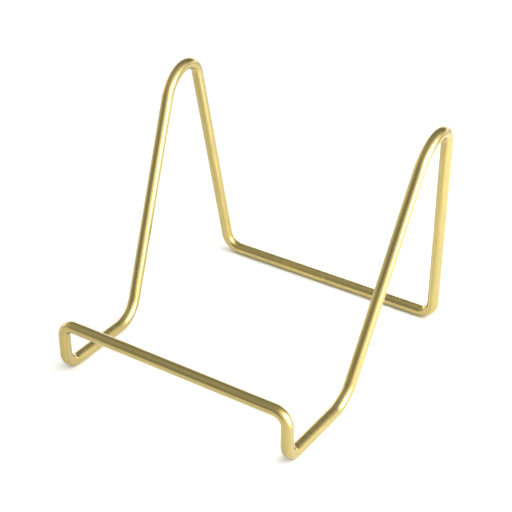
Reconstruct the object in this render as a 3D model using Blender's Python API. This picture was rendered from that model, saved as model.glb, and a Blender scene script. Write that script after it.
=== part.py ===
"""Wire display stand for a photo album: one closed loop of round brass wire.

The loop is built as its bench pieces: every straight run, every bend and the
butt weld that closes it is an object of its own. Metres, +Z up, the table at
z = 0, the lip that holds the album's foot towards -Y.
"""

import math

import bmesh
import bpy
from mathutils import Quaternion, Vector

# Driving dimensions, all along the middle of the wire.
WIRE_DIAMETER = 0.006
BASE_WIDTH = 0.130          # between the two side frames where they stand
BASE_DEPTH = 0.142          # lip to rear bar
LIP_RISE = 0.0252           # lip bar above the shelf arms
ELBOW_FROM_FRONT = 0.0513   # where the shelf arm turns up into the upright
APEX_FROM_FRONT = 0.120     # where upright and rear leg would meet if left sharp
APEX_RISE = 0.152
APEX_SPLAY = 0.011          # each side frame leans out by this much at its apex

# Bends: radius to the middle of the wire.
LIP_CORNER_RADIUS = 0.0067
FOOT_BEND_RADIUS = 0.008
ELBOW_RADIUS = 0.016
REAR_CORNER_RADIUS = 0.0085
# The hairpin at the crown is lopsided: it starts lower on the upright.
CROWN_REACH_UPRIGHT = 0.050
CROWN_REACH_LEG = 0.042

WELD_LENGTH = 0.0024
END_GAP = 0.0003            # between the faces of neighbouring pieces
SECTION_SIDES = 16          # a multiple of four, so flats face straight up and down
DEGREES_PER_STEP = 7.5      # around a bend
SMOOTH_BELOW = math.radians(40)

WIRE_RADIUS = WIRE_DIAMETER / 2
HALF_WIDTH = BASE_WIDTH / 2
FRONT_Y = -BASE_DEPTH / 2
TABLE_Z = WIRE_RADIUS       # middle of a wire that lies on the table

UP = Vector((0, 0, 1))

BRASS = (0.62, 0.47, 0.16, 1.0)
BRASS_ROUGHNESS = 0.22
WELD_BRASS = (0.55, 0.42, 0.16, 1.0)
WELD_ROUGHNESS = 0.35


def clear_scene():
    for obj in list(bpy.data.objects):
        bpy.data.objects.remove(obj, do_unlink=True)


def brass_material(name, color, roughness):
    material = bpy.data.materials.new(name)
    material.use_nodes = True
    shader = material.node_tree.nodes["Principled BSDF"]
    shader.inputs["Base Color"].default_value = color
    shader.inputs["Metallic"].default_value = 1.0
    shader.inputs["Roughness"].default_value = roughness
    return material


def bend(before, corner, after, reach_in, reach_out):
    """The arc that rounds a corner, as (point, direction of the wire) pairs.

    reach_in and reach_out are the lengths that the bend takes off the two
    sides. Equal reaches give a circle's arc, unequal ones an ellipse's.
    """
    back = (before - corner).normalized()
    ahead = (after - corner).normalized()
    turn = math.pi - back.angle(ahead)
    tangent = math.tan(turn / 2)
    back *= reach_in / tangent
    ahead *= reach_out / tangent
    steps = round(math.degrees(turn) / DEGREES_PER_STEP)
    arc = []
    for step in range(steps + 1):
        swept = turn * step / steps
        rise = (1 - math.cos(swept)) / math.sin(turn)
        point = (
            corner
            + back * (tangent - math.sin(swept) + rise * math.cos(turn))
            + ahead * rise
        )
        steepness = math.sin(swept) / math.sin(turn)
        direction = back * (steepness * math.cos(turn) - math.cos(swept)) + ahead * steepness
        arc.append((point, direction.normalized()))
    return arc


def round_bend(before, corner, after, radius):
    """A bend of one radius, which takes the same length off both sides."""
    turn = math.pi - (before - corner).angle(after - corner)
    reach = radius * math.tan(turn / 2)
    return bend(before, corner, after, reach, reach)


def wire_object(name, path, flat_side, material):
    """A closed length of wire along a path of (point, direction) pairs.

    The section's flats touch the true round wire. One of them faces
    flat_side at the first point, and the section follows the path without
    twisting.
    """
    corner_radius = WIRE_RADIUS / math.cos(math.pi / SECTION_SIDES)
    facing = path[0][1]
    across = (flat_side - facing * flat_side.dot(facing)).normalized()
    mesh = bmesh.new()
    rings = []
    for point, direction in path:
        across.rotate(facing.rotation_difference(direction))
        facing = direction
        ring = []
        for side in range(SECTION_SIDES):
            angle = 2 * math.pi * (side + 0.5) / SECTION_SIDES
            spoke = across.copy()
            spoke.rotate(Quaternion(direction, angle))
            ring.append(mesh.verts.new(point + spoke * corner_radius))
        rings.append(ring)
    for ring, following in zip(rings, rings[1:]):
        for side in range(SECTION_SIDES):
            beside = (side + 1) % SECTION_SIDES
            mesh.faces.new((ring[side], ring[beside], following[beside], following[side]))
    mesh.faces.new(rings[0][::-1])
    mesh.faces.new(rings[-1])
    bmesh.ops.recalc_face_normals(mesh, faces=mesh.faces)
    data = bpy.data.meshes.new(name)
    mesh.to_mesh(data)
    mesh.free()
    data.shade_smooth()
    data.set_sharp_from_angle(angle=SMOOTH_BELOW)
    data.materials.append(material)
    obj = bpy.data.objects.new(name, data)
    bpy.context.scene.collection.objects.link(obj)
    return obj


def straight_run(name, start, end, flat_side, material):
    """A straight length between two bends, cut back from both by the end gap."""
    along = (end - start).normalized()
    trim = along * END_GAP
    return wire_object(name, [(start + trim, along), (end - trim, along)], flat_side, material)


def side_bends(side):
    """The five bends of one side frame, front to rear. side is -1 or 1."""
    x = side * HALF_WIDTH
    lip = Vector((x, FRONT_Y, TABLE_Z + LIP_RISE))
    foot = Vector((x, FRONT_Y, TABLE_Z))
    elbow = Vector((x, FRONT_Y + ELBOW_FROM_FRONT, TABLE_Z))
    apex = Vector((x + side * APEX_SPLAY, FRONT_Y + APEX_FROM_FRONT, TABLE_Z + APEX_RISE))
    rear = Vector((x, -FRONT_Y, TABLE_Z))
    inward = Vector((-side, 0, 0))
    return (
        round_bend(lip + inward, lip, foot, LIP_CORNER_RADIUS),
        round_bend(lip, foot, elbow, FOOT_BEND_RADIUS),
        round_bend(foot, elbow, apex, ELBOW_RADIUS),
        bend(elbow, apex, rear, CROWN_REACH_UPRIGHT, CROWN_REACH_LEG),
        round_bend(apex, rear, rear + inward, REAR_CORNER_RADIUS),
    )


def build_side(side, label, material):
    """One side frame; returns where its lip corner starts and its rear corner ends."""
    lip_corner, foot_bend, elbow, crown, rear_corner = side_bends(side)
    outward = Vector((side, 0, 0))
    runs = (
        ("riser", lip_corner, foot_bend, outward),
        ("shelf_arm", foot_bend, elbow, UP),
        ("upright", elbow, crown, outward),
        ("rear_leg", crown, rear_corner, outward),
    )
    for name, before, after, flat_side in runs:
        straight_run(f"{label}_{name}", before[-1][0], after[0][0], flat_side, material)
    # The rear corner is drawn from the bar, so that its flats are level with the bar's.
    from_bar = [(point, -direction) for point, direction in reversed(rear_corner)]
    wire_object(f"{label}_lip_corner", lip_corner, UP, material)
    wire_object(f"{label}_front_foot_bend", foot_bend, outward, material)
    wire_object(f"{label}_elbow", elbow, UP, material)
    wire_object(f"{label}_crown", crown, outward, material)
    wire_object(f"{label}_rear_corner", from_bar, UP, material)
    return lip_corner[0][0], rear_corner[-1][0]


def build_stand():
    brass = brass_material("polished_brass", BRASS, BRASS_ROUGHNESS)
    weld_metal = brass_material("ground_weld", WELD_BRASS, WELD_ROUGHNESS)
    left_lip, left_rear = build_side(-1, "left", brass)
    right_lip, right_rear = build_side(1, "right", brass)
    straight_run("lip_bar", left_lip, right_lip, UP, brass)
    # The rear bar is in two lengths, joined by the weld at its middle.
    middle = (left_rear + right_rear) / 2
    half_weld = Vector((WELD_LENGTH / 2, 0, 0))
    straight_run("left_rear_bar", left_rear, middle - half_weld, UP, brass)
    straight_run("right_rear_bar", middle + half_weld, right_rear, UP, brass)
    along = half_weld.normalized()
    weld = [(middle - half_weld, along), (middle + half_weld, along)]
    wire_object("butt_weld", weld, UP, weld_metal)


clear_scene()
build_stand()
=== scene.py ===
import math

import bpy
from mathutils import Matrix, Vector
from mathutils.geometry import intersect_line_line


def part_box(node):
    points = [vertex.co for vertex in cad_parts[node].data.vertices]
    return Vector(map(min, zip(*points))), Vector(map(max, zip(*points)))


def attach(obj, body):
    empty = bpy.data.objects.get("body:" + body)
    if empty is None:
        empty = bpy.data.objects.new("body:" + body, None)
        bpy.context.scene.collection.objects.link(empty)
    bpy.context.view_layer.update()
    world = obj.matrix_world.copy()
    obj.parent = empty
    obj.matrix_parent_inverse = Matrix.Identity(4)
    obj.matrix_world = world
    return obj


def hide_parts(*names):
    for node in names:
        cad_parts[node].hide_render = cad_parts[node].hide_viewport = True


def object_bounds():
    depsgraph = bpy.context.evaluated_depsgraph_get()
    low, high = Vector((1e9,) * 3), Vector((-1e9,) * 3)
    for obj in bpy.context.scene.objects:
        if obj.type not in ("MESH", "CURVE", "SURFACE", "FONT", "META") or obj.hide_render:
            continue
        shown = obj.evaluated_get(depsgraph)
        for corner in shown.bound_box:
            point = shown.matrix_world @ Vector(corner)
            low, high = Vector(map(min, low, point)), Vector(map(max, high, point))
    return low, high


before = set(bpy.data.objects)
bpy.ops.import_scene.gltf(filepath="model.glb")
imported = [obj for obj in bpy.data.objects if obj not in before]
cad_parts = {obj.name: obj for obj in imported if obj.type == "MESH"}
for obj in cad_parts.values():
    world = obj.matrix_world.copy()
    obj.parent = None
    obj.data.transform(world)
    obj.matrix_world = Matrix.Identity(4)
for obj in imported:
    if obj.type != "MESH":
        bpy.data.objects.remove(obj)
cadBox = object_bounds()
print("frame loaded:", len(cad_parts), "nodes")

metre = 1000                     # in millimetres
sharpAbove = math.radians(50)    # an edge that turns by more than this isn't shaded smooth


class Socket:
    # one output in a node tree: + - and * on it add the Math node that does the sum
    # a Socket with no output of its own only adds nodes, and is called flow below

    def __init__(self, tree, output=None):
        self.tree = tree
        self.output = output

    def node(self, kind, settings=None, inputs=None, output=0):
        # adds any node: its settings first, then a value or a link for each input, by name or number
        made = self.tree.nodes.new(kind)
        for name, value in (settings or {}).items():
            setattr(made, name, value)
        for key, value in (inputs or {}).items():
            if isinstance(value, Socket):
                self.tree.links.new(value.output, made.inputs[key])
            else:
                made.inputs[key].default_value = value
        return Socket(self.tree, made.outputs[output] if made.outputs else None)

    def math(self, operation, *values):
        return self.node("ShaderNodeMath", {"operation": operation}, dict(enumerate(values)))

    def vector(self, operation, *values):
        # a dot product is a number, which is the node's second output
        output = 1 if operation == "DOT_PRODUCT" else 0
        settings = {"operation": operation}
        return self.node("ShaderNodeVectorMath", settings, dict(enumerate(values)), output)

    def between(self, low, high, atLow=0.0, atHigh=1.0):
        # goes smoothly from atLow to atHigh as this socket goes from low to high
        return self.node(
            "ShaderNodeMapRange",
            {"interpolation_type": "SMOOTHSTEP"},
            {"Value": self, "From Min": low, "From Max": high, "To Min": atLow, "To Max": atHigh},
        )

    def mixed(self, colourA, colourB):
        # colourA where this socket is 0, colourB where it is 1; the node's colours are its inputs 6 and 7
        return self.node("ShaderNodeMix", {"data_type": "RGBA"}, {0: self, 6: colourA, 7: colourB}, 2)

    def __add__(self, other):
        return self.math("ADD", self, other)

    def __radd__(self, other):
        return self.math("ADD", other, self)

    def __sub__(self, other):
        return self.math("SUBTRACT", self, other)

    def __rsub__(self, other):
        return self.math("SUBTRACT", other, self)

    def __mul__(self, other):
        return self.math("MULTIPLY", self, other)

    def __rmul__(self, other):
        return self.math("MULTIPLY", other, self)


# The wire's middle line, worked out from the frame's straight runs.

wire = {
    "endGap": 0.0003,        # left between a straight run and its bend in the frame
    "degreesPerStep": 2.5,   # around a bend
    "easeDegrees": 35,       # a bend takes up its flattening over this much of its turn
    "sides": 64,
    "flattening": 0.07,      # of a bend's outside: this share of the diameter where its metal doubles
}

# round the loop from the right of the weld to its left
sideRuns = ["rear_bar", "rear_leg", "upright", "shelf_arm", "riser"]
rightRuns = ["right_" + name for name in sideRuns]
leftRuns = ["left_" + name for name in reversed(sideRuns)]
runOrder = rightRuns + ["lip_bar"] + leftRuns


# The two ends of a straight run's middle line. Each end is a ring of evenly spaced corners, so its box
# is centred on the wire.
def runEnds(name):
    low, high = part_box(name)
    size = high - low
    longAxis = max(range(3), key=lambda axis: size[axis])
    halfway = (low[longAxis] + high[longAxis]) / 2
    ends = []
    for beyond in (False, True):
        ring = [
            vertex.co
            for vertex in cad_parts[name].data.vertices
            if (vertex.co[longAxis] > halfway) == beyond
        ]
        lowest = Vector([min(corner[axis] for corner in ring) for axis in range(3)])
        highest = Vector([max(corner[axis] for corner in ring) for axis in range(3)])
        ends.append((lowest + highest) / 2)
    return ends


# An arc from the end of one run to the start of the next, as (point, curvature) pairs. The sides' lines
# meet at the corner; where they stop at unequal distances from it, the arc is an ellipse's.
def bendArc(runEnd, corner, nextStart):
    back = runEnd - corner
    ahead = nextStart - corner
    turn = math.pi - back.angle(ahead)
    tangent = math.tan(turn / 2)
    back *= (back.length - wire["endGap"]) / back.length / tangent
    ahead *= (ahead.length - wire["endGap"]) / ahead.length / tangent
    steps = math.ceil(math.degrees(turn) / wire["degreesPerStep"])
    points = []
    for step in range(steps + 1):
        swept = turn * step / steps
        rise = (1 - math.cos(swept)) / math.sin(turn)
        points.append(corner + back * (tangent - math.sin(swept) + rise * math.cos(turn)) + ahead * rise)
    arc = [(points[0], Vector())]
    for step in range(1, steps):
        stepIn = points[step] - points[step - 1]
        stepOut = points[step + 1] - points[step]
        curvature = (stepOut.normalized() - stepIn.normalized()) / ((stepIn.length + stepOut.length) / 2)
        fromEnd = math.degrees(turn) * min(step, steps - step) / steps
        ease = min(fromEnd / wire["easeDegrees"], 1)
        arc.append((points[step], curvature * ease * ease * (3 - 2 * ease)))
    arc.append((points[-1], Vector()))
    return arc


def wirePath():
    weldLow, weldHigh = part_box("butt_weld")
    weldMiddle = (weldLow + weldHigh) / 2
    weldRight = Vector((weldHigh.x, weldMiddle.y, weldMiddle.z))
    weldLeft = Vector((weldLow.x, weldMiddle.y, weldMiddle.z))
    runs = []
    reached = weldRight
    for name in runOrder:
        near, far = sorted(runEnds(name), key=lambda end: (end - reached).length)
        runs.append((near, far))
        reached = far
    path = [(weldRight, Vector())]
    for (start, end), (nextStart, nextEnd) in zip(runs, runs[1:]):
        onThis, onNext = intersect_line_line(start, end, nextStart, nextEnd)
        path += bendArc(end, (onThis + onNext) / 2, nextStart)
    path.append((weldLeft, Vector()))
    return path


# The wire itself: a round section carried along the path by Geometry Nodes.

def wireTree(material):
    tree = bpy.data.node_groups.new("roundWire", "GeometryNodeTree")
    kinds = {
        "Path": "NodeSocketGeometry",
        "Wire Radius": "NodeSocketFloat",
        "Sides": "NodeSocketInt",
        "Flattening": "NodeSocketFloat",
    }
    for name, kind in kinds.items():
        tree.interface.new_socket(name=name, in_out="INPUT", socket_type=kind)
    tree.interface.new_socket(name="Wire", in_out="OUTPUT", socket_type="NodeSocketGeometry")
    entry = tree.nodes.new("NodeGroupInput")
    path, radius, sides, flattening = [Socket(tree, entry.outputs[name]) for name in kinds]
    flow = Socket(tree)

    def named(name, kind="FLOAT_VECTOR"):
        return flow.node("GeometryNodeInputNamedAttribute", {"data_type": kind}, {"Name": name})

    def stored(geometry, name, value, kind="FLOAT_VECTOR"):
        return flow.node(
            "GeometryNodeStoreNamedAttribute",
            {"data_type": kind, "domain": "POINT"},
            {"Geometry": geometry, "Name": name, "Value": value},
        )

    place = flow.node("GeometryNodeInputPosition")
    line = flow.node("GeometryNodeMeshToCurve", None, {"Mesh": path})
    line = stored(line, "middle", place)
    travelled = flow.node("GeometryNodeSplineParameter", output="Length")
    line = stored(line, "travelled", travelled, "FLOAT")
    section = flow.node(
        "GeometryNodeCurvePrimitiveCircle",
        {"mode": "RADIUS"},
        {"Resolution": sides, "Radius": radius},
    )
    section = stored(section, "across", place)
    skin = flow.node(
        "GeometryNodeCurveToMesh",
        None,
        {"Curve": line, "Profile Curve": section, "Fill Caps": True},
    )

    # stretch is above 0 on the outside of a bend, where the metal is drawn out, and below 0 inside it
    spoke = flow.vector("SUBTRACT", place, named("middle"))
    curvature = named("curvature")
    stretch = 0 - flow.vector("DOT_PRODUCT", spoke, curvature)
    skin = stored(skin, "stretch", stretch, "FLOAT")
    # the outside of a bend flattens towards the wire's middle
    outside = flow.math("MAXIMUM", named("stretch", "FLOAT"), 0.0)
    drawIn = outside * (radius * 2) * flattening
    inward = flow.vector("NORMALIZE", curvature)
    offset = flow.node("ShaderNodeVectorMath", {"operation": "SCALE"}, {0: inward, "Scale": drawIn})
    skin = flow.node("GeometryNodeSetPosition", None, {"Geometry": skin, "Offset": offset})

    # lengthwise is the place on the section, which has no Z of its own, with the length travelled as Z
    distance = flow.node("ShaderNodeCombineXYZ", None, {"Z": named("travelled", "FLOAT")})
    skin = stored(skin, "lengthwise", flow.vector("ADD", named("across"), distance))
    for name in ("middle", "travelled", "across", "curvature"):
        skin = flow.node("GeometryNodeRemoveAttribute", None, {"Geometry": skin, "Name": name})
    skin = flow.node("GeometryNodeRealizeInstances", None, {"Geometry": skin})
    skin = flow.node("GeometryNodeSetMaterial", None, {"Geometry": skin, "Material": material})
    flow.node("NodeGroupOutput", None, {0: skin})
    return tree


def plainMesh(host, name):
    # what the host's modifiers make, as an object with no modifiers, which takes the host's place
    bpy.context.view_layer.update()
    depsgraph = bpy.context.evaluated_depsgraph_get()
    mesh = bpy.data.meshes.new_from_object(
        host.evaluated_get(depsgraph), preserve_all_data_layers=True, depsgraph=depsgraph
    )
    mesh.name = name
    bpy.data.objects.remove(host)
    piece = bpy.data.objects.new(name, mesh)
    bpy.context.scene.collection.objects.link(piece)
    return piece


def makeWire(path, radius, material):
    mesh = bpy.data.meshes.new("wirePath")
    edges = [(step, step + 1) for step in range(len(path) - 1)]
    mesh.from_pydata([point for point, curvature in path], edges, [])
    attribute = mesh.attributes.new("curvature", "FLOAT_VECTOR", "POINT")
    for slot, (point, curvature) in zip(attribute.data, path):
        slot.vector = curvature
    host = bpy.data.objects.new("wirePath", mesh)
    bpy.context.scene.collection.objects.link(host)
    tree = wireTree(material)
    modifier = host.modifiers.new("roundWire", "NODES")
    modifier.node_group = tree
    values = {"Wire Radius": radius, "Sides": wire["sides"], "Flattening": wire["flattening"]}
    for item in tree.interface.items_tree:
        if item.name in values:
            modifier[item.identifier] = values[item.name]
    piece = plainMesh(host, "bentWire")
    piece.data.shade_smooth()
    piece.data.set_sharp_from_angle(angle=sharpAbove)
    return piece


# The weld that closes the loop, ground back across the wire.

weld = {
    "sides": 96,
    "rings": 20,
    "endGroove": 0.00005,    # where it meets the wire on each side
    "groovePower": 8,        # a higher power makes the groove narrower
    "grindDepth": 0.00002,   # of the small flats that the grinding leaves
    "grindFlats": 13,
    "grindTwist": 2,         # of the flats, in radians from the weld's middle to its end
}


def makeWeld(radius, material):
    low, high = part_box("butt_weld")
    middle = (low + high) / 2
    points = []
    for ring in range(weld["rings"] + 1):
        across = 2 * ring / weld["rings"] - 1
        groove = weld["endGroove"] * across ** weld["groovePower"]
        for side in range(weld["sides"]):
            angle = 2 * math.pi * side / weld["sides"]
            around = weld["grindFlats"] * angle + weld["grindTwist"] * across
            flats = weld["grindDepth"] * (1 + math.cos(around)) / 2
            spoke = radius - groove - flats
            points.append((
                middle.x + across * (high.x - low.x) / 2,
                middle.y + spoke * math.cos(angle),
                middle.z + spoke * math.sin(angle),
            ))
    faces = [tuple(reversed(range(weld["sides"])))]
    for ring in range(weld["rings"]):
        for side in range(weld["sides"]):
            this = ring * weld["sides"] + side
            beside = ring * weld["sides"] + (side + 1) % weld["sides"]
            faces.append((this, beside, beside + weld["sides"], this + weld["sides"]))
    faces.append(tuple(range(weld["rings"] * weld["sides"], (weld["rings"] + 1) * weld["sides"])))
    mesh = bpy.data.meshes.new("buttWeld")
    mesh.from_pydata(points, [], faces)
    mesh.materials.append(material)
    mesh.shade_smooth()
    mesh.set_sharp_from_angle(angle=sharpAbove)
    piece = bpy.data.objects.new("buttWeld", mesh)
    bpy.context.scene.collection.objects.link(piece)
    return piece


# Finishes. All lengths in them are in millimetres on the object. A pattern's blotches are about its size
# apart, and a lengthwise below 1 draws them out along the wire. Its fade is the two levels of the noise
# between which it comes in, its tone is how much of its colour shows, and its dulling is what it adds to
# the roughness.

brass = {
    "gold": (0.545, 0.425, 0.152, 1),    # plating at its usual thickness
    "olive": (0.455, 0.375, 0.150, 1),   # where it is thinner
    "groove": (0.375, 0.305, 0.125, 1),  # down in the lines that drawing leaves along the wire
    "rubbed": (0.61, 0.49, 0.21, 1),     # where albums and tables have rubbed it
    "roughness": 0.16,
    "bumpStrength": 0.5,
    "lacquer": 0.15,
    "lacquerRoughness": 0.06,
    # the lines that drawing leaves: shares of fine and broad ones
    "lineLength": 22.0,
    "lineDepth": 0.004,
    "fineLines": {"size": 0.24, "detail": 2.0, "grit": 0.5, "share": 0.35},
    "broadLines": {"size": 0.84, "detail": 2.0, "grit": 0.5, "share": 0.65},
    "lines": {"fade": (0.36, 0.64), "tone": 0.7, "dulling": 0.05},
    # the plating: thick and thin over long stretches, and blotched close to
    "thinning": {"size": 32.0, "detail": 2.0, "grit": 0.5, "fade": (0.35, 0.65), "tone": 0.75},
    "blotches": {"size": 2.4, "detail": 3.0, "grit": 0.5, "lengthwise": 0.3},
    "mottle": {"fade": (0.42, 0.66), "tone": 0.5, "dulling": 0.05},
    "smudge": {"size": 14.0, "detail": 4.0, "grit": 0.6, "fade": (0.5, 0.72), "dulling": 0.05},
    # the faint waves that straightening leaves
    "waveDepth": 0.035,
    "waves": {"size": 4.5, "detail": 1.0, "grit": 0.5, "lengthwise": 0.5},
    # the outsides of the bends, by how far the metal is stretched
    "drawnOut": {"fade": (0.08, 0.4), "dulling": 0.08},
    # the rubbing's patches, and the heights at which it fades out above the table, in towards an album's
    # foot, where the metal faces up, and out again above that
    "patches": {"size": 3.0, "detail": 3.0, "grit": 0.5, "fade": (0.35, 0.6)},
    "rubbing": {"tone": 0.7, "dulling": -0.04},
    "tableReach": (0.1, 0.7),
    "footStart": (5.0, 5.6),
    "footEnd": (6.0, 6.3),
    "footFacing": (0.7, 0.97),
}


def newMaterial(name):
    material = bpy.data.materials.new(name)
    material.use_nodes = True
    material.node_tree.nodes.clear()
    return material, Socket(material.node_tree)


def noise(flow, where, values):
    return flow.node(
        "ShaderNodeTexNoise",
        None,
        {
            "Vector": where,
            "Scale": 1.0 / values["size"],
            "Detail": values["detail"],
            "Roughness": values["grit"],
        },
    )


def inMillimetres(flow, source, scale=(1, 1, 1)):
    return flow.vector("MULTIPLY", source, tuple(metre * factor for factor in scale))


def brassMaterial():
    material, flow = newMaterial("polishedBrass")
    onObject = flow.node("ShaderNodeTexCoord", output="Object")
    place = inMillimetres(flow, onObject)
    lengthwise = flow.node("ShaderNodeAttribute", {"attribute_name": "lengthwise"}, output="Vector")
    stretch = flow.node("ShaderNodeAttribute", {"attribute_name": "stretch"}, output="Fac")

    # fine lines and broader ones, both long and thin along the wire
    fine = brass["fineLines"]
    broad = brass["broadLines"]
    alongLines = inMillimetres(flow, lengthwise, (1, 1, fine["size"] / brass["lineLength"]))
    fineLines = noise(flow, alongLines, fine)
    broadLines = noise(flow, alongLines, broad)
    lines = (fineLines * fine["share"] + broadLines * broad["share"]).between(*brass["lines"]["fade"])

    blotchesAlong = inMillimetres(flow, lengthwise, (1, 1, brass["blotches"]["lengthwise"]))
    mottle = noise(flow, blotchesAlong, brass["blotches"]).between(*brass["mottle"]["fade"])
    thinning = noise(flow, place, brass["thinning"]).between(*brass["thinning"]["fade"])
    smudge = noise(flow, place, brass["smudge"]).between(*brass["smudge"]["fade"])
    drawnOut = stretch.between(*brass["drawnOut"]["fade"])

    # rubbed where the wire stands on the table, and along the tops of the runs that lie on it
    height = flow.node("ShaderNodeSeparateXYZ", None, {0: place}, "Z")
    facing = flow.node("ShaderNodeNewGeometry", output="Normal")
    upward = flow.vector("DOT_PRODUCT", facing, (0, 0, 1))
    onTable = height.between(*brass["tableReach"], 1.0, 0.0)
    underFoot = height.between(*brass["footStart"]) * height.between(*brass["footEnd"], 1.0, 0.0)
    underFoot = upward.between(*brass["footFacing"]) * underFoot
    patches = noise(flow, place, brass["patches"]).between(*brass["patches"]["fade"])
    rubbed = flow.math("MINIMUM", (onTable + underFoot) * patches, 1.0)

    colour = (brass["thinning"]["tone"] * thinning).mixed(brass["gold"], brass["olive"])
    colour = (brass["mottle"]["tone"] * mottle).mixed(colour, brass["olive"])
    colour = (brass["lines"]["tone"] * lines).mixed(colour, brass["groove"])
    colour = (brass["rubbing"]["tone"] * rubbed).mixed(colour, brass["rubbed"])
    roughness = brass["roughness"] + brass["mottle"]["dulling"] * mottle
    roughness = roughness + brass["smudge"]["dulling"] * smudge
    roughness = roughness + brass["drawnOut"]["dulling"] * drawnOut
    roughness = roughness + brass["lines"]["dulling"] * lines
    roughness = roughness + brass["rubbing"]["dulling"] * rubbed

    wavesAlong = inMillimetres(flow, lengthwise, (1, 1, brass["waves"]["lengthwise"]))
    waves = noise(flow, wavesAlong, brass["waves"])
    relief = waves * (brass["waveDepth"] / brass["lineDepth"]) - lines
    bump = flow.node(
        "ShaderNodeBump",
        None,
        {"Strength": brass["bumpStrength"], "Distance": brass["lineDepth"] / metre, "Height": relief},
    )
    shader = flow.node(
        "ShaderNodeBsdfPrincipled",
        None,
        {
            "Base Color": colour,
            "Metallic": 1.0,
            "Roughness": roughness,
            "Normal": bump,
            "Coat Weight": brass["lacquer"],
            "Coat Roughness": brass["lacquerRoughness"],
        },
    )
    flow.node("ShaderNodeOutputMaterial", None, {"Surface": shader})
    return material


weldFinish = {
    "roughness": 0.18,
    "bumpStrength": 0.4,
    "scratchDepth": 0.01,
    "roundwise": 0.06,       # draws the scratches out round the wire
    "scratches": {"size": 0.12, "detail": 2.0, "grit": 0.5, "dulling": 0.10},
    "patches": {"size": 2.0, "detail": 3.0, "grit": 0.5, "fade": (0.3, 0.7)},
}


def weldMaterial():
    material, flow = newMaterial("groundWeld")
    onObject = flow.node("ShaderNodeTexCoord", output="Object")
    roundwise = weldFinish["roundwise"]
    roundTheWire = inMillimetres(flow, onObject, (1, roundwise, roundwise))
    scratches = noise(flow, roundTheWire, weldFinish["scratches"])
    patches = noise(flow, inMillimetres(flow, onObject), weldFinish["patches"])
    colour = patches.between(*weldFinish["patches"]["fade"]).mixed(brass["olive"], brass["gold"])
    roughness = weldFinish["roughness"] + weldFinish["scratches"]["dulling"] * scratches
    bump = flow.node(
        "ShaderNodeBump",
        None,
        {
            "Strength": weldFinish["bumpStrength"],
            "Distance": weldFinish["scratchDepth"] / metre,
            "Height": scratches,
        },
    )
    shader = flow.node(
        "ShaderNodeBsdfPrincipled",
        None,
        {"Base Color": colour, "Metallic": 1.0, "Roughness": roughness, "Normal": bump},
    )
    flow.node("ShaderNodeOutputMaterial", None, {"Surface": shader})
    return material


# The studio: a pale floor, soft light and the camera.

def direction(azimuth, elevation):
    # towards a place that far round to the right of the front and that far above the horizon
    azimuth = math.radians(azimuth)
    elevation = math.radians(elevation)
    return Vector((
        math.sin(azimuth) * math.cos(elevation),
        -math.cos(azimuth) * math.cos(elevation),
        math.sin(elevation),
    ))


# the floor, a pale board
board = {
    "size": 12.0,
    "colour": (0.90, 0.90, 0.89, 1),
    "roughness": 0.5,        # satin, brighter towards the panel light
}


def makeFloor():
    half = board["size"] / 2
    mesh = bpy.data.meshes.new("floor")
    corners = [(-half, -half, 0), (half, -half, 0), (half, half, 0), (-half, half, 0)]
    mesh.from_pydata(corners, [], [(0, 1, 2, 3)])
    material, flow = newMaterial("paleFloor")
    shader = flow.node(
        "ShaderNodeBsdfPrincipled",
        None,
        {"Base Color": board["colour"], "Roughness": board["roughness"]},
    )
    flow.node("ShaderNodeOutputMaterial", None, {"Surface": shader})
    mesh.materials.append(material)
    floor = bpy.data.objects.new("floor", mesh)
    bpy.context.scene.collection.objects.link(floor)


# How bright the room is in each direction. A side is an azimuth and an elevation. Edges and heights are
# cosines of the angle from that side, or from straight up, between which a level fades in.
room = {
    "colour": (1, 1, 0.97, 1),
    "lowWalls": 0.42,            # around the stand, at table height
    "ceiling": 0.62,
    "ceilingHeights": (0.2, 0.9),
    "backWallSide": (-150, 0),
    "backWall": 2.0,             # its lit foot, behind the stand
    "backWallEdges": (0.1, 0.6),
    "backWallHeights": (0.15, 0.35),
    "behind": 0.72,              # how much of the other levels is left on that side
    "behindEdges": (0.1, 0.7),
    "glowSide": (80, 18),
    "glow": 1.5,                 # spilled round the panel light
    "glowEdges": (0.33, 0.95),
    "leftWallSide": (-80, 0),
    "leftWall": 0.45,            # how much brighter the room is to the left
    "leftWallEdges": (0.6, 1.0),
    "backdrop": (0.93, 0.93, 0.92, 1),
}


def makeWorld():
    world = bpy.data.worlds.new("studio")
    world.use_nodes = True
    world.node_tree.nodes.clear()
    flow = Socket(world.node_tree)
    towards = flow.node("ShaderNodeTexCoord", output="Generated")
    height = flow.vector("DOT_PRODUCT", towards, (0, 0, 1))
    behind = flow.vector("DOT_PRODUCT", towards, tuple(direction(*room["backWallSide"])))
    besidePanel = flow.vector("DOT_PRODUCT", towards, tuple(direction(*room["glowSide"])))
    left = flow.vector("DOT_PRODUCT", towards, tuple(direction(*room["leftWallSide"])))
    level = height.between(*room["ceilingHeights"], room["lowWalls"], room["ceiling"])
    level = level * behind.between(*room["behindEdges"], 1.0, room["behind"])
    wallFoot = height.between(*room["backWallHeights"], room["backWall"], 0.0)
    level = level + behind.between(*room["backWallEdges"]) * wallFoot
    level = level + besidePanel.between(*room["glowEdges"], 0.0, room["glow"])
    level = level + left.between(*room["leftWallEdges"], 0.0, room["leftWall"])
    lit = flow.node("ShaderNodeBackground", None, {"Color": room["colour"], "Strength": level})
    backdrop = flow.node("ShaderNodeBackground", None, {"Color": room["backdrop"], "Strength": 1.0})
    seen = flow.node("ShaderNodeLightPath", output="Is Camera Ray")
    light = flow.node("ShaderNodeMixShader", None, {0: seen, 1: lit, 2: backdrop})
    flow.node("ShaderNodeOutputWorld", None, {"Surface": light})
    bpy.context.scene.world = world


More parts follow.
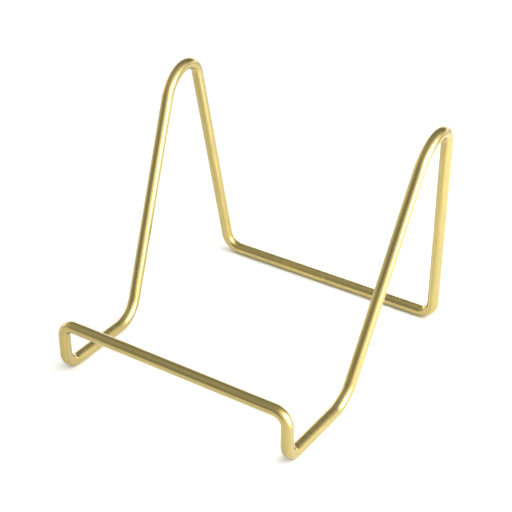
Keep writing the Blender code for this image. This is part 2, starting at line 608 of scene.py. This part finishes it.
# Azimuths are in degrees, round to the right from the stand's front.
lights = {
    "panel": {"azimuth": 91, "distance": 0.42, "width": 0.38, "height": 0.44, "radiance": 6.5},
    "side": {"azimuth": 112, "distance": 0.38, "height": 0.26, "size": 0.6, "watts": 1.9},
    "overhead": {"azimuth": 0, "distance": 0.0, "height": 1.4, "size": 2.2, "watts": 9.8},
}


def addLamp(name, light, place):
    lamp = bpy.data.objects.new(name, light)
    lamp.location = place
    lamp.visible_camera = False
    bpy.context.scene.collection.objects.link(lamp)
    return lamp


# A lit panel that stands on the floor and faces the stand. It shows in the brass and in the floor's
# sheen, and leaves lighting the floor to the other two.
def panelLight(name, values):
    width = values["width"]
    height = values["height"]
    light = bpy.data.lights.new(name, "AREA")
    light.shape = "RECTANGLE"
    light.size = width
    light.size_y = height
    light.energy = values["radiance"] * math.pi * width * height
    towards = direction(values["azimuth"], 0)
    lamp = addLamp(name, light, towards * values["distance"] + Vector((0, 0, height / 2)))
    lamp.rotation_euler = towards.to_track_quat("Z", "Y").to_euler()
    lamp.visible_diffuse = False


# Hangs over the floor and lights it. The brass doesn't mirror it.
def floorLight(name, values):
    light = bpy.data.lights.new(name, "AREA")
    light.shape = "DISK"
    light.size = values["size"]
    light.energy = values["watts"]
    above = Vector((0, 0, values["height"]))
    lamp = addLamp(name, light, direction(values["azimuth"], 0) * values["distance"] + above)
    lamp.visible_glossy = False


view = {
    "azimuth": 33.74,        # in degrees, round to the right from the stand's front
    "elevation": 31.22,
    "distance": 0.6539,
    "lens": 94.68,
    "sensor": 36,
    "aim": (0.0059, -0.0076, -0.0034),   # from the middle of the stand's box
}


def makeCamera():
    low, high = cadBox
    data = bpy.data.cameras.new("camera")
    data.lens = view["lens"]
    data.sensor_width = view["sensor"]
    camera = bpy.data.objects.new("camera", data)
    back = direction(view["azimuth"], view["elevation"])
    camera.location = (low + high) / 2 + Vector(view["aim"]) + back * view["distance"]
    camera.rotation_euler = back.to_track_quat("Z", "Y").to_euler()
    bpy.context.scene.collection.objects.link(camera)
    bpy.context.scene.camera = camera


lipLow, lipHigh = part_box("lip_bar")
wireRadius = (lipHigh.z - lipLow.z) / 2
path = wirePath()
print("wire path:", len(path), "points, wire radius", round(wireRadius * metre, 3), "mm")

bentWire = makeWire(path, wireRadius, brassMaterial())
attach(bentWire, "root")
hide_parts(*[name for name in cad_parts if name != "butt_weld"])
print("wire:", len(bentWire.data.polygons), "faces")

buttWeld = makeWeld(wireRadius, weldMaterial())
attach(buttWeld, "root")
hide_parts("butt_weld")
print("weld:", len(buttWeld.data.polygons), "faces")

makeFloor()
makeWorld()
panelLight("rightPanel", lights["panel"])
floorLight("sideLight", lights["side"])
floorLight("overheadLight", lights["overhead"])
makeCamera()
bpy.context.scene.view_settings.view_transform = "Standard"
print("studio ready")
